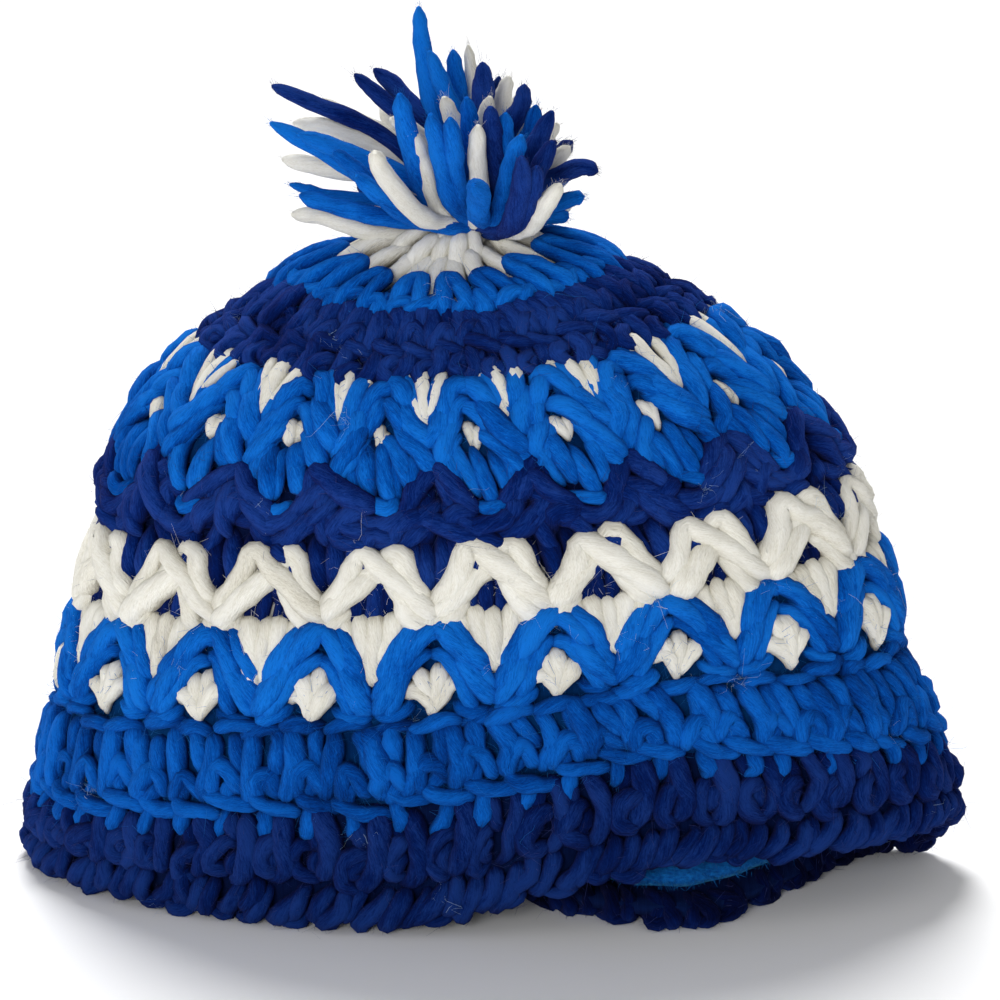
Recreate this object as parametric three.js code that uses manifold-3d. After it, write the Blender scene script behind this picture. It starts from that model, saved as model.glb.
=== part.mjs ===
// A beanie crocheted in thick yarn, with a fleece band inside and a pompom of cut yarn on top.
// Millimetres, +Z up. The hat stands on its rim, and the front faces -Y.
import * as THREE from "three";
import Module from "manifold-3d";
import { mergeVertices } from "three/addons/utils/BufferGeometryUtils.js";

// Driving sizes
const REPEATS = 18; // zigzag repeats around the hat
const FACETS = 4; // facets to a repeat, so that each peak and valley has its own corner
const SHELL = 6.2; // thickness of the crocheted wall
const FLEECE = 2.4; // thickness of the lining
const GAP = 0.3; // clearance that neighbouring pieces keep
const LINING_GAP = 0.7; // the lining is sewn at its edges and stands a little off the wall between them
const PEAK_X = 4.7; // where the zigzags' foremost peak stands
const LIFT = { rise: 16.5, from: -30, to: 52 }; // how far the front right rim is off the ground, and where
const LIFT_FADE = [10, 95]; // the stretch of wall over which that lift dies out
const TUCK = [-62, 26, 50, 112]; // where the back rim starts to swing forward, is forward, and ends
const LOOP = { from: -0.5, to: 0.4, nose: 0.3 }; // where the narrow right end starts, and its roundness
const BLUNT = { to: 0.6, corner: 0.35 }; // how that end turns blunt where it is pinched
const LINING = [14, 69]; // lower and upper edge of the lining, measured up the wall
const CROWN = { rows: 3, bulge: 1.2, button: 1 }; // the white centre, and how proud its middle stands
const POMPOM = { x: -6.5, z: 179.8, rootRadius: 13, rootHeight: 6 };

// Sections of the hat from the rim to the crown: heights at the front, side and back, then half
// width, depths at the front, the back and the pinched right end, the centre's x, how much higher
// the right side is, and how far the back right wall is pulled forward and dropped.
const COLUMNS = [
  "front", "side", "back", "half", "frontDepth", "backDepth", "rightDepth",
  "centre", "tilt", "pull", "drop",
];
const SECTIONS = {
  rim: [0, 0, 0, 126, 61, 58, 16, 0, 0, 62, 0],
  edgeTop: [13.5, 10.5, 12, 127.5, 63, 60, 19, 0, 0, 47, 9.5],
  navyTop: [35, 26, 33, 124, 63, 60, 30, -1, 3.5, 33, 18],
  blueTop: [56, 51.5, 55, 117, 61.5, 58.5, 40, -3, 5.5, 21, 17],
  wedge: [69, 67, 68, 113, 60, 57, 45, -3, 8, 15, 14],
  zigzagLow: [87.5, 86.5, 86, 106.5, 58, 55, 49.5, -3, 8, 8, 9.5],
  zigzagTop: [100.5, 101, 100, 102, 56, 53.5, 50.5, -3.5, 7, 5, 6],
  middleTop: [118.5, 123.5, 119, 94, 52, 50.5, 49.5, -5.5, 5, 1.5, 2.5],
  upperTop: [141.5, 149, 141.5, 69, 43, 42.5, 42.5, -9, 4, 0, 0],
  navyCrown: [156.5, 163, 157, 44.5, 29, 30, 29.5, -9.5, 2.5, 0, 0],
  blueCrown: [161.5, 168.5, 163, 20.5, 17.5, 18, 17.8, -10.5, 1.5, 0, 0],
  pole: [172.5, 172.5, 172.5, 0, 0, 0, 0, -7, 0, 0, 0],
};

// The crocheted rounds, from the rim up. lower and upper are the sections that a round lies
// between, the teeth are how far its edges zigzag up and down, and bulge is how proud it stands.
const ROUND_COLUMNS = ["name", "lower", "upper", "lowerTeeth", "upperTeeth", "bulge", "rows", "yarn"];
const ROUNDS = [
  ["rim_edge", "rim", "edgeTop", 0, 0, 2.0, 3, "navy"],
  ["rim_band", "edgeTop", "navyTop", 0, 1, 1.6, 2, "navy"],
  ["lower_band", "navyTop", "blueTop", 1, 0, 1.6, 2, "blue"],
  ["lower_zigzag", "blueTop", "wedgeTeeth", 0, -8, 1.4, 2, "blue"],
  ["white_zigzag", "wedgeTeeth", "zigzagMid", -8, 4.5, 2.0, 2, "cream"],
  ["middle_band", "zigzagMid", "middleTop", 4.5, 1.5, 1.2, 2, "navy"],
  ["upper_zigzag", "middleTop", "upperTop", 1.5, 3, 1.6, 2, "blue"],
  ["crown_navy", "upperTop", "navyCrown", 3, 1, 1.6, 2, "navy"],
  ["crown_blue", "navyCrown", "blueCrown", 1, 1.5, 1.4, 2, "blue"],
].map((row) => Object.fromEntries(row.map((value, i) => [ROUND_COLUMNS[i], value])));
const COLOURS = { navy: "#10257f", blue: "#0656c4", cream: "#e9e6da", fleece: "#0a62ba" };

// Main locks of the pompom, as the place of each tip from the pompom's root: right, back and up
const LOCKS = [
  [-13, 4, 57],
  [-8, -10, 44],
  [-3, 3, 45],
  [4, -6, 43],
  [11, 4, 39],
  [15, -4, 36],
  [-30, -3, 39],
  [-24, 6, 40],
  [-50, -4, 36],
  [-40, -9, 31],
  [-50, -8, 26],
  [-42, -16, 23],
  [-48, 4, 17],
  [-42, -14, 8],
  [-46, -6, 3],
  [-23, -34, 22],
  [-16, -27, 36],
  [-7, -35, 31],
  [3, -36, 29],
  [10, -31, 32],
  [20, -14, 33],
  [27, -8, 22],
  [34, -5, 13],
  [29, -20, 8],
  [6, -42, 11],
];
const BACK_LOCKS = { count: 21, length: 45, spread: 2.4, lowest: 0.06, range: 0.9, side: 0.04 };
const LOCK = { root: 3.8, waist: 4.6, waistAt: 0.55, tip: 2.4, tipAt: 0.97, sides: 5, bow: 5 };

// Distances up the wall of the sections, measured along the front
const names = Object.keys(SECTIONS);
const rows = Object.values(SECTIONS);
const front = COLUMNS.indexOf("front");
const depth = COLUMNS.indexOf("frontDepth");
const frontStep = (a, b) => Math.hypot(b[front] - a[front], b[depth] - a[depth]);
const heights = rows.map(() => 0);
for (let i = 1; i < rows.length; i++) {
  heights[i] = heights[i - 1] + frontStep(rows[i - 1], rows[i]);
}
const TOP = heights[heights.length - 1];
const level = Object.fromEntries(names.map((name, i) => [name, heights[i]]));
level.wedgeTeeth = (level.wedge + level.zigzagLow) / 2 - 1;
level.zigzagMid = level.zigzagTop - 2;

// One section beyond each end, so that the curve through the sections runs on smoothly
const mirrored = ["half", "frontDepth", "backDepth", "rightDepth"].map((name) => COLUMNS.indexOf(name));
const below = rows[0].map((value, i) => 2 * value - rows[1][i]);
const beyond = rows[rows.length - 2].map((value, i) => (mirrored.includes(i) ? -value : value));
const knots = [below, ...rows, beyond];
const knotHeights = [-heights[1], ...heights, 2 * TOP - heights[heights.length - 2]];

/** The section at a distance up the wall, as an object with the columns' names. */
function sectionAt(height) {
  const t = Math.min(Math.max(height, 0), TOP);
  let i = 1;
  while (i < knots.length - 3 && t >= knotHeights[i + 1]) i++;
  const span = knotHeights[i + 1] - knotHeights[i];
  const w = (t - knotHeights[i]) / span;
  const section = {};
  COLUMNS.forEach((name, c) => {
    const startSlope = (knots[i + 1][c] - knots[i - 1][c]) / (knotHeights[i + 1] - knotHeights[i - 1]);
    const endSlope = (knots[i + 2][c] - knots[i][c]) / (knotHeights[i + 2] - knotHeights[i]);
    section[name] =
      (2 * w ** 3 - 3 * w ** 2 + 1) * knots[i][c] +
      (w ** 3 - 2 * w ** 2 + w) * span * startSlope +
      (3 * w ** 2 - 2 * w ** 3) * knots[i + 1][c] +
      (w ** 3 - w ** 2) * span * endSlope;
  });
  return section;
}

const HALF_WIDTH = SECTIONS.rim[COLUMNS.indexOf("half")];
const smooth = (x, low, high) => THREE.MathUtils.smoothstep(x, low, high);

/** A point of the hat's outer surface. The angle is 0 at the right and -90 degrees at the front. */
function surface(angle, height) {
  const s = sectionAt(height);
  const c = Math.cos(angle);
  const n = Math.sin(angle);
  const inFront = n < 0;
  const x = s.centre + s.half * c;

  // The right end is a narrow loop with a blunt turn, and the left end is a plain oval
  const pinch = Math.min(Math.max(1 - s.rightDepth / Math.max(s.backDepth, 1e-6), 0), 1);
  const blunt = pinch * smooth(c, 0, BLUNT.to);
  const corner = Math.hypot(1, BLUNT.corner) / Math.hypot(n, BLUNT.corner);
  const turn = n * (1 - blunt + blunt * corner);
  const lag = (s.frontDepth - s.rightDepth) / Math.hypot(1, LOOP.nose);
  const frontLoop = s.rightDepth * turn - lag * Math.hypot(n, LOOP.nose);
  const backLoop = s.rightDepth * turn - lag * LOOP.nose;
  const loop = smooth(c, LOOP.from, LOOP.to);

  // The back right wall swings forward under the lifted front
  const scale = Math.min(Math.max(s.half / HALF_WIDTH, 0.05), 1);
  const [start, whole, release, stop] = TUCK.map((place) => place * scale);
  const tuck = smooth(x, start, whole) * (1 - smooth(x, release, stop));
  const y = inFront
    ? (1 - loop) * s.frontDepth * turn + loop * frontLoop
    : (1 - loop) * s.backDepth * turn + loop * backLoop - s.pull * tuck;

  const end = inFront ? s.front : s.back;
  const lifted = smooth(x, LIFT.from, LIFT.to) * smooth(-n, -0.5, 0.3) * (1 - smooth(height, ...LIFT_FADE));
  const dropped = inFront ? 0 : s.drop * tuck;
  const z = s.side + s.tilt * c + (end - s.side) * n * n + LIFT.rise * lifted - dropped;
  return new THREE.Vector3(x, y, z);
}

/** The direction out of the wall at a point of the surface. */
function outward(angle, height) {
  const h = Math.min(Math.max(height, 0.3), TOP - 0.6);
  const around = surface(angle + 0.01, h).sub(surface(angle - 0.01, h));
  const up = surface(angle, h + 0.3).sub(surface(angle, h - 0.3));
  return around.cross(up).normalize();
}

/** How upright the wall is at a point: 1 where it stands, 0 where it lies on the ground. */
function uprightness(angle, height) {
  return 1 - smooth(-outward(angle, height).z, 0.25, 0.6);
}

/** A point at a depth below the surface, or proud of it where depth is negative. */
function wallPoint(angle, height, depth) {
  return surface(angle, height).addScaledVector(outward(angle, height), -depth);
}

// Angles that share the wall out evenly, measured round the low side of the white zigzag
const COLUMN_COUNT = REPEATS * FACETS;
const SAMPLES = 1440;
const sampleAngle = (k) => -Math.PI / 2 + (2 * Math.PI * k) / SAMPLES;
const walked = [0];
for (let k = 1; k <= SAMPLES; k++) {
  const last = surface(sampleAngle(k - 1), level.zigzagLow);
  walked.push(walked[k - 1] + last.distanceTo(surface(sampleAngle(k), level.zigzagLow)));
}
function angleAt(column) {
  const distance = ((column / COLUMN_COUNT) * walked[SAMPLES] + PEAK_X) % walked[SAMPLES];
  const k = walked.findIndex((far) => far > distance);
  const part = (distance - walked[k - 1]) / (walked[k] - walked[k - 1]);
  return sampleAngle(k - 1 + part);
}
const angles = Array.from({ length: COLUMN_COUNT }, (_, column) => angleAt(column));

/** How far a toothed edge stands above its mean at a column: 1 on a peak, -1 in a valley. */
const tooth = (column) => Math.abs(((column % FACETS) / FACETS) * 4 - 2) - 1;

/**
 * A ring of one cross-section carried round the hat. sectionOf(column) gives its corners: rising of
 * them up the outer face, then the rest down the inner face. Each four-sided facet is split from
 * low to high and from inner to outer, so that facets that face each other across a gap match.
 */
function ring(sectionOf, rising) {
  const positions = [];
  const index = [];
  const corners = sectionOf(0).length;
  for (let column = 0; column < COLUMN_COUNT; column++) {
    const next = (column + 1) % COLUMN_COUNT;
    sectionOf(column).forEach((point, k) => {
      positions.push(point.x, point.y, point.z);
      const a = column * corners + k;
      const b = column * corners + ((k + 1) % corners);
      const c = next * corners + ((k + 1) % corners);
      const d = next * corners + k;
      const outer = k < rising - 1 || k === corners - 1;
      index.push(...(outer ? [a, d, c, a, c, b] : [a, d, b, b, d, c]));
    });
  }
  return indexed(positions, index);
}

function indexed(positions, index) {
  const geometry = new THREE.BufferGeometry();
  geometry.setAttribute("position", new THREE.Float32BufferAttribute(positions, 3));
  geometry.setIndex(index);
  return geometry;
}

/** The heights between which a round runs at one column. */
function roundSpan(round, column) {
  return {
    low: level[round.lower] + round.lowerTeeth * tooth(column) + (round.lower === "rim" ? 0 : GAP / 2),
    high: level[round.upper] + round.upperTeeth * tooth(column) - GAP / 2,
  };
}

/** The wall of one crocheted round. The rim's lower face is flat where it meets the ground. */
function roundGeometry(round) {
  return ring((column) => {
    const { low, high } = roundSpan(round, column);
    const angle = angles[column];
    const section = [];
    for (let k = 0; k <= round.rows; k++) {
      const w = k / round.rows;
      const height = low + (high - low) * w;
      const proud = round.bulge * Math.sin(Math.PI * w) * uprightness(angle, height);
      section.push(wallPoint(angle, height, -proud));
    }
    section.push(wallPoint(angle, high, SHELL), wallPoint(angle, low, SHELL));
    if (round.lower === "rim") {
      const foot = section[0];
      const heel = section[section.length - 1];
      heel.z = THREE.MathUtils.lerp(heel.z, foot.z, uprightness(angle, 0));
    }
    return section;
  }, round.rows + 1);
}

/** The white centre of the crown, a shallow closed dome that ends in the middle of the hat. */
function crownGeometry() {
  const columns = angles.map((_, column) => column).filter((column) => column % 2 === 0);
  const count = columns.length;
  const positions = [];
  const index = [];
  const addLayer = (depth, w, proud) => {
    columns.forEach((column) => {
      const low = level.blueCrown + 1.5 * tooth(column) + GAP / 2;
      const point = wallPoint(angles[column], low + (TOP - low) * w, depth - proud);
      positions.push(point.x, point.y, point.z);
    });
  };
  const join = (low, high) => {
    for (let i = 0; i < count; i++) {
      const next = (i + 1) % count;
      const [a, b] = [low * count + i, low * count + next];
      const [c, d] = [high * count + next, high * count + i];
      index.push(a, b, c, a, c, d);
    }
  };
  const close = (layer, pole, up) => {
    for (let i = 0; i < count; i++) {
      const [a, b] = [layer * count + i, layer * count + ((i + 1) % count)];
      index.push(...(up ? [a, b, pole] : [b, a, pole]));
    }
  };

  // Outer face from the edge to the middle, then the inner face from the middle back to the edge
  for (let k = 0; k < CROWN.rows; k++) {
    const w = k / CROWN.rows;
    addLayer(0, w, CROWN.bulge * Math.sin(Math.PI * w * 0.8));
  }
  for (let k = CROWN.rows - 1; k >= 0; k--) {
    addLayer(SHELL, k / CROWN.rows, 0);
  }
  for (let k = 0; k < CROWN.rows - 1; k++) {
    join(k, k + 1);
    join(CROWN.rows + k, CROWN.rows + k + 1);
  }
  join(2 * CROWN.rows - 1, 0);
  const pole = surface(0, TOP);
  const outerPole = positions.length / 3;
  positions.push(pole.x, pole.y, pole.z + CROWN.button);
  positions.push(pole.x, pole.y, pole.z - SHELL);
  close(CROWN.rows - 1, outerPole, true);
  close(CROWN.rows, outerPole + 1, false);
  return indexed(positions, index);
}

/** The fleece band, which lines the wall from just above the rim's edge. It follows its facets. */
function liningGeometry() {
  const lined = ROUNDS.slice(1, 4);
  return ring((column) => {
    const angle = angles[column];
    const at = (height, depth) => {
      const round = lined.find((each) => height <= level[each.upper] + 1) ?? lined[2];
      const { low, high } = roundSpan(round, column);
      const foot = wallPoint(angle, low, depth);
      return foot.lerp(wallPoint(angle, high, depth), (height - low) / (high - low));
    };
    const stops = [LINING[0], level.navyTop, level.blueTop, LINING[1]];
    const outer = stops.map((height) => at(height, SHELL + LINING_GAP));
    const inner = stops.map((height) => at(height, SHELL + LINING_GAP + FLEECE));
    return [...outer, ...inner.reverse()];
  }, 4);
}

const UP_THE_LATHE = new THREE.Vector3(0, 1, 0);

/** A tapered lock of yarn, turned on a lathe and then bent from the root to its tip. */
function lockGeometry(tip, bow) {
  const profile = [
    new THREE.Vector2(0, 0),
    new THREE.Vector2(LOCK.root, 0),
    new THREE.Vector2(LOCK.waist, LOCK.waistAt),
    new THREE.Vector2(LOCK.tip, LOCK.tipAt),
    new THREE.Vector2(0, 1),
  ];
  const geometry = new THREE.LatheGeometry(profile, LOCK.sides);
  geometry.deleteAttribute("normal");
  geometry.deleteAttribute("uv");
  const path = new THREE.QuadraticBezierCurve3(new THREE.Vector3(), bow, tip);
  const place = geometry.getAttribute("position");
  for (let i = 0; i < place.count; i++) {
    const along = place.getY(i);
    const turned = new THREE.Quaternion().setFromUnitVectors(UP_THE_LATHE, path.getTangent(along));
    const point = new THREE.Vector3(place.getX(i), 0, place.getZ(i)).applyQuaternion(turned);
    point.add(path.getPoint(along));
    place.setXYZ(i, point.x, point.y, point.z);
  }
  return geometry;
}

const wasm = await Module();
wasm.setup();

/** A closed three.js geometry as a solid that can be joined and cut. */
function toSolid(geometry) {
  const merged = mergeVertices(geometry, 1e-4);
  return new wasm.Manifold(
    new wasm.Mesh({
      numProp: 3,
      vertProperties: new Float32Array(merged.getAttribute("position").array),
      triVerts: new Uint32Array(merged.getIndex().array),
    }),
  );
}

function fromSolid(solid) {
  const mesh = solid.getMesh();
  const geometry = new THREE.BufferGeometry();
  geometry.setAttribute("position", new THREE.BufferAttribute(mesh.vertProperties, mesh.numProp));
  geometry.setIndex(new THREE.BufferAttribute(mesh.triVerts, 1));
  return geometry;
}

/** The pompom: its locks fused to the tied root, which sits on the crown. */
function pompomGeometry() {
  const root = new THREE.SphereGeometry(1, 12, 7);
  root.deleteAttribute("normal");
  root.deleteAttribute("uv");
  root.scale(POMPOM.rootRadius, POMPOM.rootRadius, POMPOM.rootHeight);
  let solid = toSolid(root);
  const tips = LOCKS.map(([right, back, up]) => new THREE.Vector3(right, back, up));
  for (let i = 0; i < BACK_LOCKS.count; i++) {
    const rise = BACK_LOCKS.lowest + (BACK_LOCKS.range * i) / BACK_LOCKS.count;
    const across = BACK_LOCKS.side + (1 - 2 * BACK_LOCKS.side) * ((i * BACK_LOCKS.spread) % 1);
    const reach = BACK_LOCKS.length * Math.sqrt(1 - rise * rise);
    const right = reach * Math.cos(Math.PI * across);
    const back = reach * Math.sin(Math.PI * across);
    tips.push(new THREE.Vector3(right, back, BACK_LOCKS.length * rise));
  }
  tips.forEach((tip) => {
    const bow = tip.clone().multiplyScalar(0.5);
    bow.z += LOCK.bow;
    solid = solid.add(toSolid(lockGeometry(tip, bow)));
  });
  return fromSolid(solid);
}

const hat = new THREE.Group();

function addPiece(name, geometry, colour, roughness) {
  const material = new THREE.MeshStandardMaterial({ color: colour, roughness, metalness: 0 });
  const mesh = new THREE.Mesh(geometry, material);
  mesh.name = name;
  hat.add(mesh);
  return mesh;
}

ROUNDS.forEach((round) => addPiece(round.name, roundGeometry(round), COLOURS[round.yarn], 0.92));
addPiece("crown_white", crownGeometry(), COLOURS.cream, 0.92);
addPiece("lining_band", liningGeometry(), COLOURS.fleece, 0.97);
const pompom = addPiece("pompom", pompomGeometry(), COLOURS.blue, 0.9);
pompom.position.set(POMPOM.x, 0, POMPOM.z);

// The origin is the middle of the hat's box, on the ground
const box = new THREE.Box3().setFromObject(hat, true);
const middle = box.getCenter(new THREE.Vector3());
hat.position.set(-middle.x, -middle.y, -box.min.z);

export default hat;
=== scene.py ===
"""How the beanie looks: every strand of its crocheted yarn is a tube laid on the hat's own surface.

Lengths are millimetres until a mesh is made, which turns them into metres. A place on the hat is
(turn, height, depth). turn counts the zigzag's repeats round the hat, height is the distance up
the wall from the rim, and depth is how far a place lies under the outer surface.
"""
import math

import bpy
import numpy as np
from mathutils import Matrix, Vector


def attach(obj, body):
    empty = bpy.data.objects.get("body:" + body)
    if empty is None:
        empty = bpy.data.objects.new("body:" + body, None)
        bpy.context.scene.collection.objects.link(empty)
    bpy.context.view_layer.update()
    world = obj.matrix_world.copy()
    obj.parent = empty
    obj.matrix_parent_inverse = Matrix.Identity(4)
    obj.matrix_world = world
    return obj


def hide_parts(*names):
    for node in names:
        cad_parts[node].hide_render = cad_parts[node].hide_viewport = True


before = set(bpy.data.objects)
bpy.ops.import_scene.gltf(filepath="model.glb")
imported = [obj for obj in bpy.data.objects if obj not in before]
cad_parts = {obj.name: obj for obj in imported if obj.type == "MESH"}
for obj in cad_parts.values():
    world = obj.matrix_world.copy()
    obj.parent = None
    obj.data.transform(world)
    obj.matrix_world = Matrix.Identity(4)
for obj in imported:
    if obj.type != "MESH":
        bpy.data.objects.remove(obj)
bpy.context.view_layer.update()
random = np.random.default_rng(18)

# Driving sizes, in millimetres where nothing else is said
REPEATS = 18  # of the zigzag, round the hat
STITCH = 1 / 3  # of a repeat
REPEAT_WIDE = 500 / REPEATS  # about, at the zigzag
SHELL = 6.2  # thickness of the wall
FLEECE = 2.4
PEAK_X = 4.7  # how far round from the front's middle the first peak stands
LINING = {"low": 9.8, "high": 69, "depth": 6.9}
POMPOM = (-6.5, 0.0, 179.8)
BACKING = 4.3  # depth at which the knitted ground lies behind the strands
INSET = 1.7  # how much deeper the strands lie than their tables say, so that their fuzz fills the outline
CROWN_RISE = {"low": 156, "high": 172, "by": 2.4}  # the crown's strands stand proud, fully from high up
LOWEST = 0.1  # of any surface of the hat
LOWEST_ROUTE = 0.15  # of the middle of a strand
VIEW_ANGLE = math.radians(14)  # how far the photo's view looks down

# How high the rim is lifted at the front right, the x and the shares of the way to the front over
# which that grows, and the heights over which it fades
LIFT = {"rise": 16.5, "across": (-30, 52), "front": (-0.5, 0.3), "fade": (10, 95)}
TUCK = {"in": (-62, 26), "out": (50, 112)}  # the x over which the back right wall swings in and out
# Cosines over which the section narrows to its pinched right end, how round its nose is, how far
# the end is squared and how sharp its corners are
LOOP = {"start": -0.5, "stop": 0.4, "nose": 0.3}
BLUNT = {"stop": 0.6, "corner": 0.35}

# Sections of the hat from the rim to the crown: heights at the front, side and back, half width,
# depths at the front, the back and the pinched right end, the centre's x, how much higher the
# right side is, and how far the back right wall is pulled forward and dropped
COLUMNS = (
    "front", "side", "back", "half", "front_depth", "back_depth", "right_depth",
    "centre", "tilt", "pull", "drop",
)
SECTIONS = {
    "rim": (0, 0, 0, 126, 61, 58, 16, 0, 0, 62, 0),
    "edge_top": (13.5, 10.5, 12, 127.5, 63, 60, 19, 0, 0, 47, 9.5),
    "navy_top": (35, 26, 33, 124, 63, 60, 30, -1, 3.5, 33, 18),
    "blue_top": (56, 51.5, 55, 117, 61.5, 58.5, 40, -3, 5.5, 21, 17),
    "wedge": (69, 67, 68, 113, 60, 57, 45, -3, 8, 15, 14),
    "zigzag_low": (87.5, 86.5, 86, 106.5, 58, 55, 49.5, -3, 8, 8, 9.5),
    "zigzag_top": (100.5, 101, 100, 102, 56, 53.5, 50.5, -3.5, 7, 5, 6),
    "middle_top": (118.5, 123.5, 119, 94, 52, 50.5, 49.5, -5.5, 5, 1.5, 2.5),
    "upper_top": (141.5, 149, 141.5, 69, 43, 42.5, 42.5, -9, 4, 0, 0),
    "navy_crown": (156.5, 163, 157, 44.5, 29, 30, 29.5, -9.5, 2.5, 0, 0),
    "blue_crown": (161.5, 168.5, 163, 20.5, 17.5, 18, 17.8, -10.5, 1.5, 0, 0),
    "pole": (172.5, 172.5, 172.5, 0, 0, 0, 0, -7, 0, 0, 0),
}
FRONT, FRONT_DEPTH, HALF = (COLUMNS.index(name) for name in ("front", "front_depth", "half"))
rows = np.array(list(SECTIONS.values()), float)
steps = np.hypot(np.diff(rows[:, FRONT]), np.diff(rows[:, FRONT_DEPTH]))
heights = np.concatenate([[0], np.cumsum(steps)])
level = dict(zip(SECTIONS, heights))
TOP = heights[-1]
mirrored = [COLUMNS.index(name) for name in ("half", "front_depth", "back_depth", "right_depth")]
beyond = rows[-2].copy()
beyond[mirrored] *= -1
knots = np.vstack([2 * rows[0] - rows[1], rows, beyond])
knot_heights = np.concatenate([[-heights[1]], heights, [2 * TOP - heights[-2]]])


def smooth(x, low, high):
    """0 below low, 1 above high, and an even change between them."""
    w = np.clip((x - low) / (high - low), 0, 1)
    return w * w * (3 - 2 * w)


def unit(v):
    return v / np.maximum(np.linalg.norm(v, axis=-1, keepdims=True), 1e-9)


def together(*arrays):
    """The arrays' numbers side by side, along a new last axis."""
    return np.stack(np.broadcast_arrays(*arrays), -1)


def distances(routes):
    """How far along its route each point lies."""
    strides = np.linalg.norm(np.diff(routes, axis=-2), axis=-1)
    return np.concatenate([np.zeros_like(strides[..., :1]), np.cumsum(strides, axis=-1)], axis=-1)


def section_at(height):
    """The hat's section at each height, as a dictionary of the columns."""
    t = np.clip(height, 0, TOP)
    i = np.clip(np.searchsorted(knot_heights, t, side="right") - 1, 1, len(knots) - 3)
    span = (knot_heights[i + 1] - knot_heights[i])[..., None]
    w = (t - knot_heights[i])[..., None] / span
    leave = (knots[i + 1] - knots[i - 1]) / (knot_heights[i + 1] - knot_heights[i - 1])[..., None]
    arrive = (knots[i + 2] - knots[i]) / (knot_heights[i + 2] - knot_heights[i])[..., None]
    value = (
        (2 * w**3 - 3 * w**2 + 1) * knots[i]
        + (w**3 - 2 * w**2 + w) * span * leave
        + (3 * w**2 - 2 * w**3) * knots[i + 1]
        + (w**3 - w**2) * span * arrive
    )
    return dict(zip(COLUMNS, np.moveaxis(value, -1, 0)))


def surface(angle, height):
    """Points of the hat's outer surface. The angle is 0 at the right and -90 degrees at the front."""
    angle, height = np.broadcast_arrays(np.asarray(angle, float), np.asarray(height, float))
    s = section_at(height)
    c, n = np.cos(angle), np.sin(angle)
    x = s["centre"] + s["half"] * c
    pinch = np.clip(1 - s["right_depth"] / np.maximum(s["back_depth"], 1e-6), 0, 1)
    blunt = pinch * smooth(c, 0, BLUNT["stop"])
    corner = np.hypot(1, BLUNT["corner"]) / np.hypot(n, BLUNT["corner"])
    turn = n * (1 - blunt + blunt * corner)
    lag = (s["front_depth"] - s["right_depth"]) / np.hypot(1, LOOP["nose"])
    front_loop = s["right_depth"] * turn - lag * np.hypot(n, LOOP["nose"])
    back_loop = s["right_depth"] * turn - lag * LOOP["nose"]
    loop = smooth(c, LOOP["start"], LOOP["stop"])
    scale = np.clip(s["half"] / rows[0, HALF], 0.05, 1)
    tuck = smooth(x / scale, *TUCK["in"]) * (1 - smooth(x / scale, *TUCK["out"]))
    in_front = n < 0
    front_y = (1 - loop) * s["front_depth"] * turn + loop * front_loop
    back_y = (1 - loop) * s["back_depth"] * turn + loop * back_loop - s["pull"] * tuck
    y = np.where(in_front, front_y, back_y)
    end = np.where(in_front, s["front"], s["back"])
    lifted = smooth(x, *LIFT["across"]) * smooth(-n, *LIFT["front"])
    lifted = lifted * (1 - smooth(height, *LIFT["fade"]))
    dropped = np.where(in_front, 0, s["drop"] * tuck)
    z = s["side"] + s["tilt"] * c + (end - s["side"]) * n * n + LIFT["rise"] * lifted - dropped
    return np.stack([x, y, z], -1)


# The surface as a fine grid of points and directions outward, so that places are quick to look up
GRID_ROUND = 1080
GRID_UP = 400
SAMPLES = 1440
NUDGE = {"round": 0.01, "up": 0.3}  # the slope is taken over these, in radians and millimetres
sample_angles = -math.pi / 2 + 2 * math.pi * np.arange(SAMPLES + 1) / SAMPLES
walked = distances(surface(sample_angles, level["zigzag_low"]))
grid_turns = np.arange(GRID_ROUND + 1) / GRID_ROUND
grid_angles = np.interp((grid_turns * walked[-1] + PEAK_X) % walked[-1], walked, sample_angles)
grid_heights = np.linspace(0, TOP - NUDGE["up"], GRID_UP)
grid_angle, grid_height = np.meshgrid(grid_angles, grid_heights)
held = np.clip(grid_height, NUDGE["up"], TOP - 2 * NUDGE["up"])
across = surface(grid_angle + NUDGE["round"], held) - surface(grid_angle - NUDGE["round"], held)
upward = surface(grid_angle, held + NUDGE["up"]) - surface(grid_angle, held - NUDGE["up"])
out = np.cross(across, upward)
out /= np.linalg.norm(out, axis=-1, keepdims=True)

# The crown's white centre is a node whose highest corner stands 1 mm over the pole, so it gives
# the place of the section table's origin in the part's frame
button = max((v.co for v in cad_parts["crown_white"].data.vertices), key=lambda co: co.z)
ORIGIN = np.array(button) * 1000 - surface(0, TOP) - (0, 0, 1)
grid_points = surface(grid_angle, grid_height) + ORIGIN


def look_up(grid, turn, height):
    """The grid's value at each turn and height, from the four nearest."""
    a = (turn % REPEATS) / REPEATS * GRID_ROUND
    b = np.clip(height, 0, grid_heights[-1]) / grid_heights[-1] * (GRID_UP - 1)
    i = np.minimum(a.astype(int), GRID_ROUND - 1)
    j = np.minimum(b.astype(int), GRID_UP - 2)
    u, v = (a - i)[..., None], (b - j)[..., None]
    low = grid[j, i] * (1 - u) + grid[j, i + 1] * u
    high = grid[j + 1, i] * (1 - u) + grid[j + 1, i + 1] * u
    return low * (1 - v) + high * v


def place(route):
    """Places (turn, height, depth) as points of the part's frame. Nothing goes under the ground."""
    turn, height, depth = np.moveaxis(np.asarray(route, float), -1, 0)
    point = look_up(grid_points, turn, height) - depth[..., None] * look_up(out, turn, height)
    point[..., 2] = np.maximum(point[..., 2] + np.minimum(height, 0), LOWEST_ROUTE)
    return point


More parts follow.
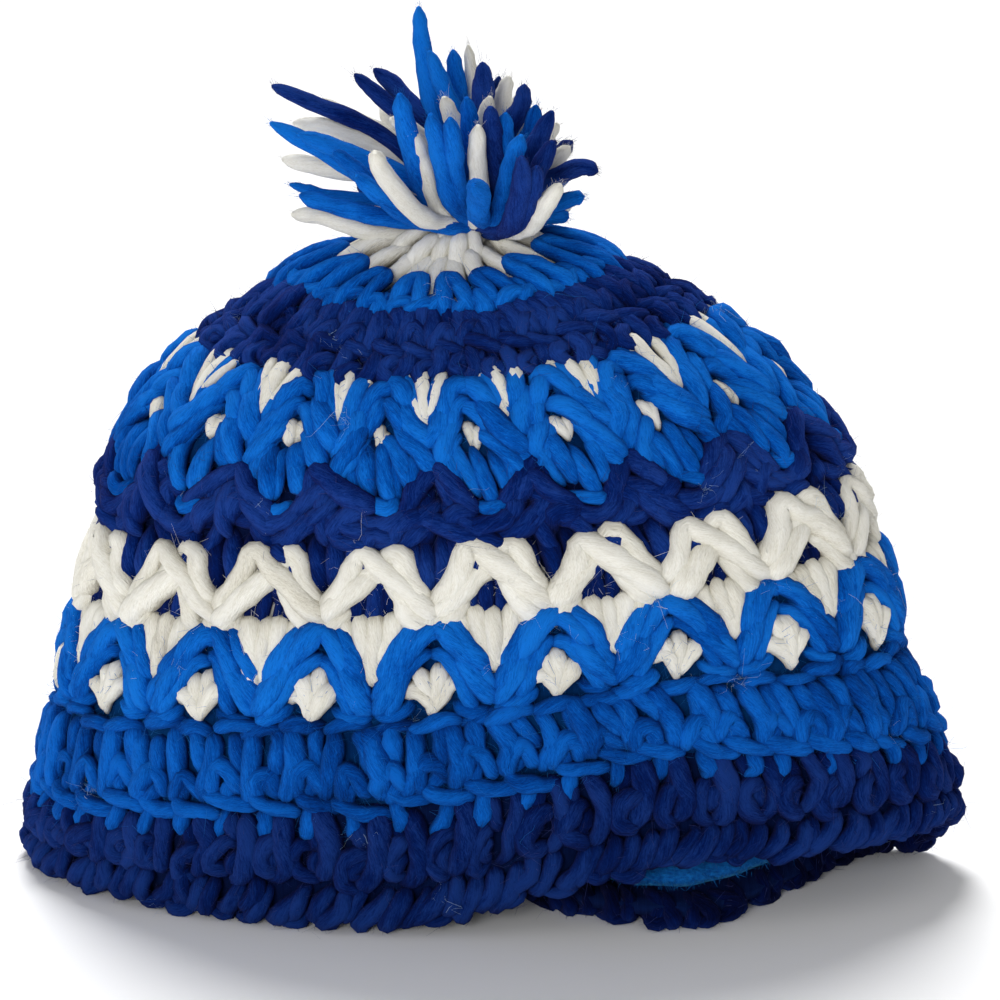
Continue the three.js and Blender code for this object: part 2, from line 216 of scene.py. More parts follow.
def spline(values, count):
    """Smooth curves through values (curves, points, numbers), sampled at count places each."""
    values = np.asarray(values, float)
    last = values.shape[1] - 1
    padded = np.concatenate(
        [2 * values[:, :1] - values[:, 1:2], values, 2 * values[:, -1:] - values[:, -2:-1]], axis=1
    )
    t = np.linspace(0, last, count)
    i = np.minimum(t.astype(int), last - 1)
    w = (t - i)[None, :, None]
    a, b, c, d = (padded[:, i + k] for k in range(4))
    return 0.5 * (
        2 * b + (c - a) * w + (2 * a - 5 * b + 4 * c - d) * w**2 + (3 * b - a - 3 * c + d) * w**3
    )


# A strand's section: how uneven and flat it is, its radius at its last rings and how far its ends bulge
LUMPS = 0.03
SWELLS = 0.055
FLATNESS = 0.9
END_RING, NEXT_RING, END_BULGE = 0.45, 0.88, 0.6
OFF_AXIS = (0.13, 0.21, 1.0)  # no strand starts out along this
FIBRE_RUN = 400  # how far along the fibres' pattern a strand may start
# Painted shade: a strand's point is darker where it faces inward or its strand lies deep
FACING = (-0.45, 0.8)
SUNK = {"from": INSET + 0.6, "to": INSET + 3.4, "share": 0.7}


class Piece:
    """Tubes and other surfaces that become one mesh, in metres."""

    def __init__(self, name, *materials):
        self.name = name
        self.materials = materials
        self.points, self.quads, self.triangles = [], [], []
        self.quad_uv, self.triangle_uv = [], []
        self.quad_slots, self.triangle_slots = [], []
        self.tones, self.openness = [], []
        self.skin = []
        self.count = 0

    def tubes(self, centres, radii, sides=8, slot=0, twist=0.02, outward=None, depth=0):
        """Tubes along centres (tubes, rings, 3), with rounded ends and slightly uneven radii."""
        tubes, rings, _ = centres.shape
        tangent = unit(np.gradient(centres, axis=1))
        side = np.empty_like(centres)
        side[:, 0] = unit(np.cross(tangent[:, 0], OFF_AXIS))
        for k in range(1, rings):
            last = side[:, k - 1]
            side[:, k] = unit(last - tangent[:, k] * (last * tangent[:, k]).sum(-1, keepdims=True))
        over = np.cross(tangent, side)
        radii = np.broadcast_to(radii, (tubes, rings)).copy()
        radii[:, [0, -1]] *= END_RING
        radii[:, [1, -2]] *= NEXT_RING
        # The factors keep a sum of three or of two about as wide as one
        noise = random.normal(size=(tubes, rings, sides))
        noise = (noise + np.roll(noise, 1, axis=1) + np.roll(noise, 1, axis=2)) * 0.58
        swell = random.normal(size=(tubes, rings, 1))
        swell = (swell + np.roll(swell, 1, axis=1)) * 0.7
        r = radii[..., None] * (1 + LUMPS * noise + SWELLS * swell)
        a = 2 * math.pi * np.arange(sides) / sides
        ring = np.cos(a)[:, None] * side[:, :, None] + FLATNESS * np.sin(a)[:, None] * over[:, :, None]
        points = centres[:, :, None] + r[..., None] * ring
        points[..., 2] = np.maximum(points[..., 2], LOWEST)
        begin = centres[:, 0] - tangent[:, 0] * radii[:, :1] * END_BULGE
        finish = centres[:, -1] + tangent[:, -1] * radii[:, -1:] * END_BULGE
        ends = np.stack([begin, finish], axis=1)
        ends[..., 2] = np.maximum(ends[..., 2], LOWEST)
        self.points += [points.reshape(-1, 3), ends.reshape(-1, 3)]
        along_skin = tangent.repeat(sides, 1).reshape(-1, 3)
        self.skin.append((points.reshape(-1, 3), ring.reshape(-1, 3), along_skin))

        first = self.count + np.arange(tubes)[:, None] * (rings * sides)
        tips = self.count + tubes * rings * sides + 2 * np.arange(tubes)[:, None]
        here = np.arange(sides)
        right = (here + 1) % sides
        row = first[:, :, None] + np.arange(rings - 1)[None, :, None] * sides
        quads = together(row + here, row + right, row + right + sides, row + here + sides)
        close = first + (rings - 1) * sides
        start_caps = together(first + right, first + here, tips)
        end_caps = together(close + here, close + right, tips + 1)
        self.quads.append(quads.reshape(-1, 4))
        self.triangles += [start_caps.reshape(-1, 3), end_caps.reshape(-1, 3)]
        self.quad_slots.append(np.full(tubes * (rings - 1) * sides, slot))
        self.triangle_slots.append(np.full(tubes * sides * 2, slot))
        self.count += tubes * rings * sides + 2 * tubes

        def corner(u, v):
            return together(u + v * twist, v)

        along = distances(centres) + random.uniform(0, FIBRE_RUN, size=(tubes, 1))
        low, high = along[:, :-1, None], along[:, 1:, None]
        left = here / sides
        step = 1 / sides
        uv = [corner(left, low), corner(left + step, low), corner(left + step, high), corner(left, high)]
        cap_uv = np.repeat(together(left[None, :, None], along[:, :1, None]), 3, axis=2).reshape(-1, 2)
        self.quad_uv.append(np.stack(uv, axis=-2).reshape(-1, 2))
        self.triangle_uv += [cap_uv, cap_uv]

        # Painted shade, kept in the openness: darker where the strand faces into the wall or lies under
        # others
        faces = 1 if outward is None else smooth((ring * outward[:, :, None]).sum(-1), *FACING)
        sunk = np.broadcast_to(smooth(depth, SUNK["from"], SUNK["to"]), (tubes, rings))[..., None]
        openness = np.broadcast_to(faces * (1 - SUNK["share"] * sunk), (tubes, rings, sides))
        self.openness += [openness.ravel(), openness[:, [0, -1]].mean(-1).ravel()]
        tone = random.normal(size=(tubes, 1)).clip(-2, 2)
        self.tones += [np.repeat(tone, rings * sides, 1).ravel(), np.repeat(tone, 2, 1).ravel()]

    def add(self, points, quads, uv, slot=0):
        """Faces with four corners, numbered within points, that lie open to the light."""
        count = points.size // 3
        self.points.append(points.reshape(-1, 3))
        self.quads.append(quads.reshape(-1, 4) + self.count)
        self.quad_uv.append(uv.reshape(-1, 2))
        self.quad_slots.append(np.full(quads.size // 4, slot))
        self.tones.append(np.zeros(count))
        self.openness.append(np.ones(count))
        self.count += count

    def sheet(self, points, slot=0, scale=1.0):
        """A surface through points (rows, columns, 3), closed round the hat and from last to first row."""
        high, wide, _ = points.shape
        j = np.arange(high)[:, None]
        i = np.arange(wide)[None, :]
        up, right = (j + 1) % high, (i + 1) % wide
        quads = together(j * wide + i, j * wide + right, up * wide + right, up * wide + i)
        uv = together(i * scale, j * scale)[:, :, None] + np.array([(0, 0), (1, 0), (1, 1), (0, 1)]) * scale
        self.add(points, quads, uv, slot)

    def build(self):
        """The piece as an object that rides on the hat."""
        mesh = bpy.data.meshes.new(self.name)
        points = np.concatenate(self.points) / 1000
        quads = np.concatenate(self.quads) if self.quads else np.zeros((0, 4), int)
        triangles = np.concatenate(self.triangles) if self.triangles else np.zeros((0, 3), int)
        corners = np.concatenate([quads.ravel(), triangles.ravel()])
        starts = np.concatenate([np.arange(len(quads)) * 4, quads.size + np.arange(len(triangles)) * 3])
        mesh.vertices.add(len(points))
        mesh.vertices.foreach_set("co", points.ravel())
        mesh.loops.add(len(corners))
        mesh.loops.foreach_set("vertex_index", corners.astype(np.int32))
        mesh.polygons.add(len(starts))
        mesh.polygons.foreach_set("loop_start", starts.astype(np.int32))
        slots = np.concatenate(self.quad_slots + self.triangle_slots)
        mesh.polygons.foreach_set("material_index", slots.astype(np.int32))
        mesh.polygons.foreach_set("use_smooth", np.ones(len(starts), bool))
        mesh.update(calc_edges=True)
        uv = mesh.uv_layers.new(name="strand")
        uv.data.foreach_set("uv", np.concatenate(self.quad_uv + self.triangle_uv).ravel())
        for name, values in {"tone": self.tones, "openness": self.openness}.items():
            attribute = mesh.attributes.new(name, "FLOAT", "POINT")
            attribute.data.foreach_set("value", np.concatenate(values))
        for material in self.materials:
            mesh.materials.append(material)
        thing = bpy.data.objects.new(self.name, mesh)
        bpy.context.collection.objects.link(thing)
        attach(thing, "root")
        return thing


class Look:
    """A material, with the nodes that the yarns and the fleece are made of."""

    def __init__(self, name, settings):
        self.made = bpy.data.materials.new(name)
        self.made.use_nodes = True
        self.nodes = self.made.node_tree.nodes
        self.links = self.made.node_tree.links
        self.shader = self.nodes["Principled BSDF"]
        for socket, value in settings.items():
            self.put(self.shader.inputs[socket], value)

    def put(self, socket, value):
        """Sets a socket to a number or colour, or links another node's output to it."""
        if isinstance(value, bpy.types.NodeSocket):
            self.links.new(value, socket)
        else:
            socket.default_value = value

    def node(self, kind, output, **inputs):
        """An output of a new node with these inputs."""
        node = self.nodes.new("ShaderNode" + kind)
        for name, value in inputs.items():
            self.put(node.inputs[name], value)
        return node.outputs[output]

    def maths(self, operation, *values):
        node = self.nodes.new("ShaderNodeMath")
        node.operation = operation
        for socket, value in zip(node.inputs, values):
            self.put(socket, value)
        return node.outputs[0]

    def total(self, *parts):
        """The sum of parts (value, middle, share): how far each is from its middle, times its share."""
        total = None
        for value, middle, share in parts:
            off = self.maths("SUBTRACT", value, middle) if middle else value
            term = self.maths("MULTIPLY", off, share)
            total = term if total is None else self.maths("ADD", total, term)
        return total

    def strand(self, around, along):
        """A place on a strand, with no seam round it, stretched by these two scales."""
        uv = self.nodes.new("ShaderNodeUVMap")
        uv.uv_map = "strand"
        parts = self.nodes.new("ShaderNodeSeparateXYZ")
        self.put(parts.inputs[0], uv.outputs["UV"])
        turn = self.maths("MULTIPLY", parts.outputs["X"], 2 * math.pi)
        x, y = (self.maths("MULTIPLY", self.maths(wave, turn), around) for wave in ("COSINE", "SINE"))
        z = self.maths("MULTIPLY", parts.outputs["Y"], along)
        return self.node("CombineXYZ", "Vector", X=x, Y=y, Z=z)

    def attribute(self, name):
        node = self.nodes.new("ShaderNodeAttribute")
        node.attribute_name = name
        return node.outputs["Fac"]

    def noise(self, scale, detail, source, roughness=0.6):
        return self.node("TexNoise", "Fac", Scale=scale, Detail=detail, Roughness=roughness, Vector=source)

    def colour(self, source, first, last, *between):
        """Colours by the source's value, through stops of (value, colour)."""
        node = self.nodes.new("ShaderNodeValToRGB")
        elements = node.color_ramp.elements
        for element, (position, colour) in zip(elements, (first, last)):
            element.position = position
            element.color = (*colour, 1)
        for position, colour in between:
            elements.new(position).color = (*colour, 1)
        self.put(node.inputs["Fac"], source)
        self.put(self.shader.inputs["Base Color"], node.outputs["Color"])

    def bump(self, height, strength, distance):
        normal = self.node("Bump", "Normal", Strength=strength, Distance=distance, Height=height)
        self.put(self.shader.inputs["Normal"], normal)


def wool(name, colour, shade, glow, gap_shade, halo=None, streaks=0.65, mottle=0.75):
    """Soft single-ply yarn: fibres along the strand, blotches, painted shade in its gaps, and a pale sheen
    of fuzz.
    """
    look = Look(name, {
        "Roughness": 0.92,
        "Specular IOR Level": 0.03,
        "Sheen Weight": 0.2,
        "Sheen Roughness": 0.45,
        "Sheen Tint": (*(halo or glow), 1),
    })
    strand = look.strand(2.3, 0.13)
    fibres = look.noise(3.1, 5, strand)
    tufts = look.noise(0.5, 2, strand)
    fine = look.noise(10, 4, strand)
    blotches = look.noise(48, 3, look.node("TexCoord", "Object"))
    # Lighter and darker with the yarn's own fibres, tufts, blotches and tone, and painted shade from the
    # openness
    light = look.total(
        (fibres, 0, streaks),
        (tufts, 0, 0.45),
        (blotches, 0.4, mottle),
        (look.attribute("openness"), 0.8, 0.46),
        (fine, 0.5, 0.8),
        (look.attribute("tone"), 0, 0.05),
    )
    # Colour stops from the painted shade in the gaps up to where fibres catch the light
    look.colour(light, (0.12, gap_shade), (0.84, glow), (0.38, shade), (0.6, colour))
    look.bump(look.total((fibres, 0, 0.7), (tufts, 0, 0.5), (fine, 0, 0.45)), 0.9, 0.0007)
    return look.made


def fleece():
    """Brushed fleece: tiny tufts, with no strands."""
    look = Look("fleece", {
        "Roughness": 0.95,
        "Specular IOR Level": 0.1,
        "Sheen Weight": 0.5,
        "Sheen Tint": (0.1, 0.5, 0.9, 1),
    })
    tufts = look.noise(900, 5, look.node("TexCoord", "Object"), roughness=0.5)
    look.colour(tufts, (0.3, (0.001, 0.055, 0.27)), (0.75, (0.006, 0.16, 0.54)))
    look.bump(tufts, 0.8, 0.0008)
    return look.made


# Each yarn's colours: in the light, in shade, painted shade in the gaps, where fibres catch the light, and
# its fuzz
NAVY = {
    "colour": (0.001, 0.0145, 0.125),
    "shade": (0.0005, 0.006, 0.06),
    "gap_shade": (0.0002, 0.0015, 0.015),
    "glow": (0.01, 0.045, 0.25),
    "halo": (0.1, 0.1, 0.32),
}
BLUE = {
    "colour": (0.001, 0.085, 0.44),
    "shade": (0.0005, 0.035, 0.22),
    "gap_shade": (0.0003, 0.008, 0.07),
    "glow": (0.006, 0.17, 0.68),
    "halo": (0.05, 0.27, 0.75),
}
# The blue darkened as painted shade, for the lower band
BLUE_SHADED = {
    "colour": (0.001, 0.062, 0.34),
    "shade": (0.0005, 0.024, 0.16),
    "gap_shade": (0.0003, 0.005, 0.045),
    "glow": (0.004, 0.13, 0.58),
    "halo": (0.05, 0.25, 0.7),
}
CREAM = {
    "colour": (0.89, 0.87, 0.79),
    "shade": (0.76, 0.73, 0.63),
    "gap_shade": (0.42, 0.38, 0.3),
    "glow": (0.96, 0.95, 0.89),
}
# Lint and loose fibres let light through, so they look paler: in the light, in shade, at their brightest
PALE = ((0.3, 0.5, 0.78), (0.2, 0.4, 0.7), (0.6, 0.75, 0.9))
HAZE = {
    "navy": ((0.015, 0.03, 0.17), (0.006, 0.016, 0.11), (0.08, 0.09, 0.28)),
    "blue": ((0.004, 0.12, 0.5), (0.002, 0.065, 0.34), (0.04, 0.25, 0.72)),
    "cream": ((0.86, 0.84, 0.78), (0.72, 0.69, 0.62), (0.95, 0.94, 0.9)),
}


def deep(yarn, share):
    """The yarn's colours made darker, as painted shade: for a round in shade, or for the ground that lies
    behind the strands.
    """
    return {name: tuple(share * channel for channel in colour) for name, colour in yarn.items()}


navy = wool("navy_yarn", **NAVY)
blue = wool("blue_yarn", **BLUE)
blue_shaded = wool("blue_shaded_yarn", **BLUE_SHADED)
cream = wool("cream_yarn", **CREAM, streaks=0.4, mottle=0.35)
# The rim's navy darkened as painted shade, for the rounds that face down
navy_shaded = wool("navy_shaded_yarn", **deep(NAVY, 0.76))
# The ground behind the strands in each yarn, darkened as painted shade in the gaps
navy_gap_shade = wool("navy_yarn_gap_shade", **deep(NAVY, 0.35))
blue_gap_shade = wool("blue_yarn_gap_shade", **deep(BLUE, 0.35))
cream_gap_shade = wool("cream_yarn_gap_shade", **deep(CREAM, 0.7))
pale = wool("lint", *PALE, PALE[1])
haze = {name: wool(name + "_haze", *colours, colours[1]) for name, colours in HAZE.items()}

# How unevenly the strands are laid, as shares of a strand's jitter: the strand as a whole, each of
# its points, and its lean. Radii differ whatever the jitter.
UNEVEN = {"whole": 0.9, "point": 0.5, "lean": 1.6, "depth": 0.5, "radius": 0.09}
THINNEST = 0.3


def repeats(template, turns, low, high, width, jitter):
    """A strand's routes and radii, repeated at each turn."""
    template = np.asarray(template, float)
    turns = np.asarray(turns, float)
    copies, points = len(turns), len(template)
    route = np.empty((copies, points, 3))
    route[..., 0] = turns[:, None] + template[:, 0] * width
    route[..., 1] = low + (high - low) * template[:, 1]
    proud = CROWN_RISE["by"] * smooth(route[..., 1], CROWN_RISE["low"], CROWN_RISE["high"])
    route[..., 2] = template[:, 2] + INSET - proud
    shift = random.normal(size=(copies, 1, 3)) * (jitter * UNEVEN["whole"])
    shift = shift + random.normal(size=route.shape) * (jitter * UNEVEN["point"])
    off_middle = template[:, 1] - template[:, 1].mean()
    lean = random.normal(size=(copies, 1)) * jitter * UNEVEN["lean"] * off_middle
    route += shift * (1 / REPEAT_WIDE, 1, UNEVEN["depth"])
    route[..., 0] += lean / REPEAT_WIDE / max(np.ptp(template[:, 1]), 1e-6)
    radii = template[:, 3] * (1 + UNEVEN["radius"] * random.normal(size=(copies, 1)))
    return route, radii


def lay(piece, template, turns, low=0.0, high=1.0, width=1.0, rings=14, sides=8, slot=0, jitter=0.3):
    """A strand at each turn. Its points are (across, up, depth, radius): across counts widths, and up
    goes from 0 at low to 1 at high."""
    route, radii = repeats(template, turns, low, high, width, jitter)
    route = spline(route, rings)
    radii = np.maximum(spline(radii[..., None], rings)[..., 0], THINNEST)
    outward = look_up(out, route[..., 0], route[..., 1])
    piece.tubes(place(route), radii, sides, slot, outward=outward, depth=route[..., 2])


def strands(table):
    """Strands, one to a line, which goes on after a comma. A point is across, up, depth and radius."""
    lines = table.strip().replace(",\n", ",").splitlines()
    return [[tuple(map(float, point.split())) for point in line.split(",")] for line in lines]


def mirror(strand):
    return [(-x, y, d, r) for x, y, d, r in strand]


def thicker(strand, by):
    return [(x, y, d, r * by) for x, y, d, r in strand]


def lay_all(piece, strands, turns, both_ways=None, **options):
    """Each of the strands at each turn and, if asked, mirrored that far beside it."""
    for strand in strands:
        lay(piece, strand, turns, **options)
        if both_ways is not None:
            lay(piece, mirror(strand), turns + both_ways, **options)


def tooth(turn):
    """1 on a peak of the zigzag, -1 in a valley."""
    return np.abs((turn % 1) * 4 - 2) - 1


every_repeat = np.arange(REPEATS)
every_half = np.arange(REPEATS * 2) / 2
every_stitch = np.arange(REPEATS * 3) * STITCH
wedge_middle = (level["wedge"] + level["zigzag_low"]) / 2 - 1

# The seams between the rounds: their height, and how far their teeth reach up on a peak
SEAMS = {
    "rim": (2, 0),
    "edge_top": (level["edge_top"], 0),
    "navy_top": (level["navy_top"], 1),
    "blue_top": (level["blue_top"], 0),
    "chevrons": (wedge_middle, -8),
    "wedges": (wedge_middle + 1.5, -8),
    "zigzag": (level["zigzag_top"] - 2, 4.5),
    "middle_top": (level["middle_top"], 1.5),
    "upper_top": (level["upper_top"], 3),
    "navy_crown": (level["navy_crown"], 1),
    "blue_crown": (level["blue_crown"], 1.5),
}
KNIT_SCALE = 0.7
GROUND_COLUMNS = 432
skins = {"navy": [], "blue": [], "cream": []}


def seam(name, turns):
    height, teeth = SEAMS[name]
    return height + teeth * tooth(turns)


def shell(turns, climb, outer, inner):
    """Rows of a closed wall: up along its outer depth, then down along its inner one."""
    outside = place(together(turns, climb, outer))
    inside = place(together(turns, climb[::-1], inner))
    return np.concatenate([outside, inside])


def ground(piece, low, high, up=6, outer=BACKING):
    """The wall behind the strands, a closed ring between two seams."""
    turns = np.arange(GROUND_COLUMNS) / GROUND_COLUMNS * REPEATS
    foot = seam(low, turns)
    climb = foot + (seam(high, turns) - foot) * np.linspace(0, 1, up)[:, None]
    # The last material is the yarn darkened as painted shade, for the ground seen between the strands
    piece.sheet(shell(turns, climb, outer, SHELL), slot=len(piece.materials) - 1, scale=KNIT_SCALE)


def finish_piece(piece, node, yarn):
    """Makes the round's object, which stands for the node, and lets the yarn's fuzz grow on its strands."""
    thing = piece.build()
    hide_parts(node)
    skins[yarn] += piece.skin


# The rolled edge: strands that wrap over it, and short ones that lie across them
EDGE_STRANDS = 7  # to a repeat
WRAP, BUMP = strands("""
    0.09 11.9 2.8 1.9, 0.08 10.2 0.2 2.3, 0.03 7 -1.2 2.6, -0.03 4.2 -1 2.6, -0.07 2.4 1.2 2.7,
        -0.06 2.6 3.4 2.2, -0.02 5 4.2 2.1, 0.02 9.5 4 2.1
    -0.09 4.4 0.6 1.8, -0.04 2.6 -0.4 2.3, 0.05 2.3 -0.2 2.3, 0.11 4.2 1.2 1.8
""")
# A post stitch of the lower rounds: its tall post, the shorter strand beside it, the arch over its
# foot with the strand that fills it, the foot, and the tip that pokes into the round below
POST = strands("""
    0.92 1.02 2.8 2.3, 1.05 0.84 0.9 2.8, 1.11 0.52 0.3 2.9, 1.04 0.28 0.8 2.6, 0.92 0.08 2.8 2.1
    0.5 1 2.6 2.2, 0.6 0.84 0.9 2.6, 0.68 0.6 1.2 2.5, 0.74 0.4 3 2
    0.1 0.1 2.4 2, 0.12 0.26 0.3 2.4, 0.26 0.44 -0.2 2.5, 0.44 0.52 0.1 2.5, 0.6 0.44 0.4 2.4,
        0.72 0.26 1 2.3, 0.84 0.16 2.6 1.9
    0.7 0.4 3.2 2.2, 0.52 0.32 1.6 2.5, 0.42 0.18 1.8 2.4, 0.5 0.04 3.2 2
    0.14 0.22 2.4 1.9, 0.38 0.12 0.2 2.4, 0.78 0.03 -0.1 2.4, 1.14 -0.02 1 2.2, 1.34 -0.06 2.8 1.7
    0.62 0.04 2.8 1.8, 0.58 -0.12 0.9 2.2, 0.52 -0.27 0.4 2.3, 0.44 -0.38 1.2 1.7, 0.42 -0.42 2.8 1
""")
# A rounder one: its post, the strand beside it, its loop and the strand that fills it
ROUND_POST = strands("""
    0.9 1 2.8 2.2, 1.02 0.82 0.8 2.8, 1.08 0.56 0.2 3, 1.03 0.32 0.3 2.9, 0.88 0.12 0.8 2.6, 0.62 0.02 2.6 2
    0.58 0.9 3.2 2.1, 0.64 0.78 1.6 2.4, 0.66 0.6 1.8 2.3, 0.66 0.44 3.4 1.9
    0.86 0.42 2.8 2, 0.66 0.53 0.9 2.5, 0.44 0.47 0.1 2.7, 0.3 0.3 0 2.8, 0.38 0.14 0.1 2.7,
        0.6 0.06 0.8 2.4, 0.84 0.06 2.6 1.9
    0.78 0.42 3.2 2.2, 0.62 0.34 1.4 2.7, 0.54 0.22 1.4 2.7, 0.66 0.1 3 2.2
""")
# A link of the chain that ends the lower band, in millimetres above the band
CHAIN = strands("""
    -0.1 -0.8 3 1.7, 0.1 0.2 1.4 2.2, 0.45 1 0.8 2.4, 0.85 0.8 1.5 2.1, 1.1 -0.4 3.2 1.6
""")


def rim_edge():
    piece = Piece("rim_edge_yarn", navy_shaded, navy_gap_shade)
    turns = np.arange(REPEATS * EDGE_STRANDS) / EDGE_STRANDS
    lay(piece, WRAP, turns, rings=15, jitter=0.8)
    lay(piece, BUMP, turns[::2] + 0.05, rings=10, sides=7, jitter=0.9)
    ground(piece, "rim", "edge_top", up=4, outer=3.4)
    finish_piece(piece, "rim_edge", "navy")


def post_round(piece, post, low, high, turns, width, size=1.0, jitter=0.7, sides=8):
    """A round of post stitches between two heights, with strands of the given relative size."""
    sized = [thicker(strand, size) for strand in post]
    lay_all(piece, sized, turns, low=low, high=high, width=width, rings=13, sides=sides, jitter=jitter)


def rim_band():
    piece = Piece("rim_band_yarn", navy_shaded, navy_gap_shade)
    low, high = level["edge_top"] - 1.0, level["navy_top"] - 0.2
    post_round(piece, ROUND_POST, low, high, every_stitch, STITCH, size=1.06, jitter=0.9)
    ground(piece, "edge_top", "navy_top")
    finish_piece(piece, "rim_band", "navy")


def lower_band():
    piece = Piece("lower_band_yarn", blue_shaded, blue_gap_shade)
    low, high = level["navy_top"] + 0.2, level["blue_top"] - 0.6
    post_round(piece, POST, low, high, every_stitch, STITCH, size=1.06, jitter=0.85)
    ground(piece, "navy_top", "blue_top")
    top = level["blue_top"]
    lay_all(piece, CHAIN, every_stitch, low=top, high=top + 1, width=STITCH, rings=12, jitter=0.9)
    finish_piece(piece, "lower_band", "blue")


# Half of a lower chevron, in repeats from its middle and in millimetres up the wall
LOWER_ARM = strands("""
    0.1 83 3 2.2, 0.18 81.8 0.4 2.7, 0.29 77 -0.5 3.1, 0.38 72 -0.1 2.9, 0.44 68.4 2.2 2.2
    0.3 73.8 2.8 2.1, 0.37 70.6 0.1 2.7, 0.44 66.6 -0.2 2.8, 0.5 62.8 2.2 2.1
    -0.11 79.6 2.8 2.2, 0.04 81.8 -0.2 3, 0.17 78.4 -0.9 3.1, 0.26 73.6 -0.2 2.9, 0.31 69.8 2.4 2.1
    0.16 76.2 2.8 2.2, 0.25 72.6 -0.1 2.9, 0.34 67.6 -0.6 3.1, 0.43 63.4 0 2.8, 0.5 60.4 2.4 2.1
    -0.02 75 2.8 2, 0.1 75.2 0.6 2.5, 0.22 70.4 0.2 2.8, 0.31 64.4 0.4 2.7, 0.38 59.6 1.8 2.2
    0.18 62.4 3 1.9, 0.26 60.2 1.2 2.3, 0.38 59 0.9 2.3, 0.5 58.8 2.2 1.9
""")
DROP = strands("""
    -0.21 63.6 3.6 2, -0.17 66.4 1.1 2.6, -0.08 65.4 0.6 2.5, -0.02 61.6 0.8 1.9, 0 59 2.2 1.2
    -0.12 69 3.4 2, -0.08 69.8 0.8 2.6, -0.04 67 0.3 2.4, 0 62.4 0.6 1.8, 0.01 59.2 2.4 1.1
    0.05 71.2 3.4 2, 0.05 70.6 0.8 2.6, 0.04 66.6 0.2 2.5, 0.01 61.8 0.5 1.8, 0.01 58.4 2 1.1
    0.2 65.4 3.6 2, 0.16 67.2 0.9 2.6, 0.1 65.2 0.4 2.5, 0.03 61.4 0.7 1.8, 0.01 59 2.2 1.1
""")


def lower_zigzag():
    piece = Piece("lower_zigzag_yarn", blue, cream, blue_gap_shade)
    valleys = every_repeat + 0.5
    lay_all(piece, LOWER_ARM, valleys, both_ways=0.01, rings=12, jitter=0.5)
    lay_all(piece, DROP, valleys, rings=13, slot=1, jitter=0.35)
    ground(piece, "blue_top", "chevrons")
    finish_piece(piece, "lower_zigzag", "blue")


# The white round: wedges that narrow to a tip, and over each a peak made of strands crossing it
WEDGE_TOPS = (-0.31, -0.16, 0.0, 0.15, 0.30)
BEHIND_PEAK = (-0.2, -0.06, 0.08, 0.2)
PEAK_YARN = 1.1  # how much thicker the white strands of the peak are than their table says
PEAK = strands("""
    -0.55 87 2.8 2.8, -0.42 90.4 0.5 3.2, -0.31 94.4 0 3.3, -0.255 98.4 0 3.1, -0.21 101.4 0.1 3,
        -0.12 101 -0.3 3, -0.02 98.4 -0.8 3.2, 0.15 94.8 -0.7 3.4, 0.31 90.4 -0.4 3.4, 0.46 86.2 0.8 3,
        0.55 84 2.8 2.4
    0.02 97.4 3 2.3, 0.09 100.8 0.9 2.8, 0.17 101.8 0 3, 0.24 99.2 -0.1 3.2, 0.29 95.4 0 3.2,
        0.38 91.6 0.4 3.1, 0.5 88.8 2.4 2.6
    -0.5 83.2 2.4 2.6, -0.41 86 0.3 3.2, -0.28 89.6 -0.2 3.3, -0.14 93.2 -0.1 3.1, 0 95.4 0.8 2.6,
        0.08 95 2.8 2
    0.04 95.4 2.8 2.1, 0.13 92.4 0.6 2.6, 0.21 88.8 0.2 2.9, 0.28 85.2 0.3 2.9, 0.38 82.6 0.8 2.8,
        0.5 81.6 2.4 2.3
    -0.27 92 2.6 2.3, -0.15 95.4 1.2 2.8, 0.01 97.4 0.7 3, 0.15 97.2 0.9 2.8, 0.26 94.4 2.4 2.2
    -0.6 84.6 2.2 2.4, -0.52 82.8 1 2.6, -0.42 83.6 0.7 2.8, -0.33 86.2 1.4 2.5, -0.28 88.2 2.8 2
    0.47 86 2.4 2.1, 0.48 84.2 0.6 2.3, 0.49 82.8 0.8 1.9, 0.49 81.8 2.2 1.3
""")


def wedge_strand(top):
    """A strand from its place at a wedge's top to the wedge's tip. The outer ones lie deeper."""
    aside = abs(top) * 4
    return [
        (top * 0.98, 85.4, 3.4, 2.3), (top * 0.94, 83.6, 1.0 + aside * 0.6, 2.8),
        (top * 0.8, 79.6, 0.5 + aside, 2.9), (top * 0.54, 74.8, 0.7 + aside * 0.8, 2.7),
        (top * 0.3, 70.8, 1.0, 2.4), (top * 0.18, 68.4, 2.8, 1.9),
    ]


def hidden_post(across):
    """A navy post that shows between the strands of a white peak."""
    return [
        (across, 81.0, 3.6, 2.2), (across, 86.0, 2.6, 2.3),
        (across + 0.01, 92.0, 2.4, 2.3), (across, 98.0, 3.4, 2.2),
    ]


def white_zigzag():
    piece = Piece("white_zigzag_yarn", cream, navy, cream_gap_shade)
    lay_all(piece, map(wedge_strand, WEDGE_TOPS), every_repeat, rings=15)
    for strand in PEAK:
        rings = max(15, 2 * len(strand))
        lay(piece, thicker(strand, PEAK_YARN), every_repeat, rings=rings, sides=9, jitter=0.5)
    lay_all(piece, map(hidden_post, BEHIND_PEAK), every_repeat, slot=1, rings=9, jitter=0.5)
    ground(piece, "wedges", "zigzag", outer=4.6)
    finish_piece(piece, "white_zigzag", "cream")


